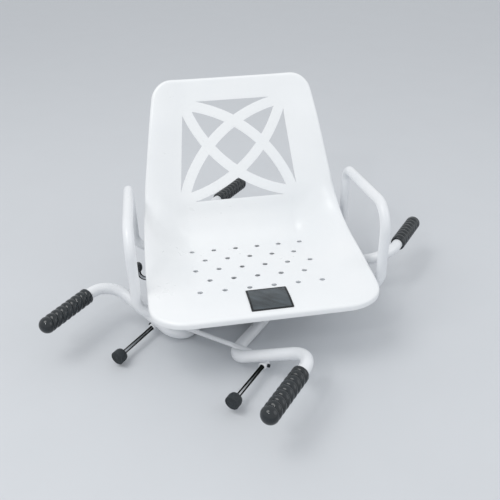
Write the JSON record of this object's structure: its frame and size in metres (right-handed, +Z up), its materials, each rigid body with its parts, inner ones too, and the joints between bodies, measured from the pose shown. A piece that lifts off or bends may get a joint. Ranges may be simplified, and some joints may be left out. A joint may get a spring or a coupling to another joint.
{
  "type": "swivel bath seat",
  "caption": "Moulded bath seat with backrest lattice and bent-tube armrests on a turntable, hung between a bath's rims by ribbed grips, with sliding stop rods and a release lever",
  "frame": {"origin": "on the swivel axis, at the height of the bath's rims, which the undersides of the four grips rest on", "axes": "+X along the bath, +Y across the bath and away from the side that people get in from, +Z up; the seat is stored turned 39.6 degrees towards that side, as in the picture"},
  "size_m": [0.5337, 0.7, 0.4196],
  "materials": {
    "white_coat": "satin powder coat",
    "white_shell": "gloss moulded",
    "black_rubber": "satin",
    "chrome": "polished",
    "steel": "zinc plated",
    "dark_screw": "black oxide",
    "nylon": "natural",
    "label_grey": "satin, blank"
  },
  "bodies": {
    "base": {"side_tube_left": "white_coat", "side_tube_right": "white_coat", "cross_bar_near": "white_coat", "cross_bar_far": "white_coat", "rod_collar_near_left": "white_coat", "rod_collar_near_right": "white_coat", "rod_collar_far_left": "white_coat", "rod_collar_far_right": "white_coat", "base_plate": "white_coat", "pedestal": "white_coat", "grip_near_left": "black_rubber", "grip_near_right": "black_rubber", "grip_far_left": "black_rubber", "grip_far_right": "black_rubber", "index_plate": "steel", "index_screw_1": "steel", "index_screw_2": "steel", "index_screw_3": "steel", "index_screw_4": "steel", "clamp_screw_near_left": "dark_screw", "clamp_screw_near_right": "dark_screw", "clamp_screw_far_left": "dark_screw", "clamp_screw_far_right": "dark_screw", "pivot_bush": "nylon", "bearing_ring": "nylon"},
    "turning_seat": {"seat_shell": "white_shell", "label_plate": "label_grey", "armrest_left": "white_coat", "armrest_right": "white_coat", "tube_plug_front_left": "black_rubber", "tube_plug_front_right": "black_rubber", "tube_plug_rear_left": "black_rubber", "tube_plug_rear_right": "black_rubber", "armrest_bolt_front_left": "steel", "armrest_bolt_front_right": "steel", "armrest_bolt_rear_left": "steel", "armrest_bolt_rear_right": "steel", "seat_screw_front_left": "steel", "seat_screw_front_right": "steel", "seat_screw_rear_left": "steel", "seat_screw_rear_right": "steel", "top_plate": "white_coat", "pivot_bolt": "steel", "pivot_washer": "steel", "pivot_nut": "steel", "hinge_bracket": "white_coat", "hinge_pin": "steel", "lever_spring": "steel"},
    "lever": {"release_lever": "chrome", "lever_knob": "black_rubber"},
    "stop_near_left": {"stop_rod_near_left": "chrome", "stop_pad_near_left": "black_rubber"},
    "stop_near_right": {"stop_rod_near_right": "chrome", "stop_pad_near_right": "black_rubber"},
    "stop_far_left": {"stop_rod_far_left": "chrome", "stop_pad_far_left": "black_rubber"},
    "stop_far_right": {"stop_rod_far_right": "chrome", "stop_pad_far_right": "black_rubber"}
  },
  "joints": [
    {"name": "seat_swivel", "type": "hinge", "parent": "base", "child": "turning_seat", "pos_m": [0, 0, 0], "axis": [0, 0, 1], "continuous": true},
    {"name": "lever_hinge", "type": "hinge", "parent": "turning_seat", "child": "lever", "pos_m": [-0.04793, -0.0111, 0.0036], "axis": [-0.6374, 0.7705, 0], "range_deg": [-6, 0], "stiffness_Nm_per_rad": 0.4, "springref_deg": 17.19},
    {"name": "stop_rod_slide_near_left", "type": "slide", "parent": "base", "child": "stop_near_left", "axis": [0, -1, 0], "range_m": [-0.055, 0.008]},
    {"name": "stop_rod_slide_near_right", "type": "slide", "parent": "base", "child": "stop_near_right", "axis": [0, -1, 0], "range_m": [-0.055, 0.008]},
    {"name": "stop_rod_slide_far_left", "type": "slide", "parent": "base", "child": "stop_far_left", "axis": [0, 1, 0], "range_m": [-0.039, 0.024]},
    {"name": "stop_rod_slide_far_right", "type": "slide", "parent": "base", "child": "stop_far_right", "axis": [0, 1, 0], "range_m": [-0.039, 0.024]}
  ]
}
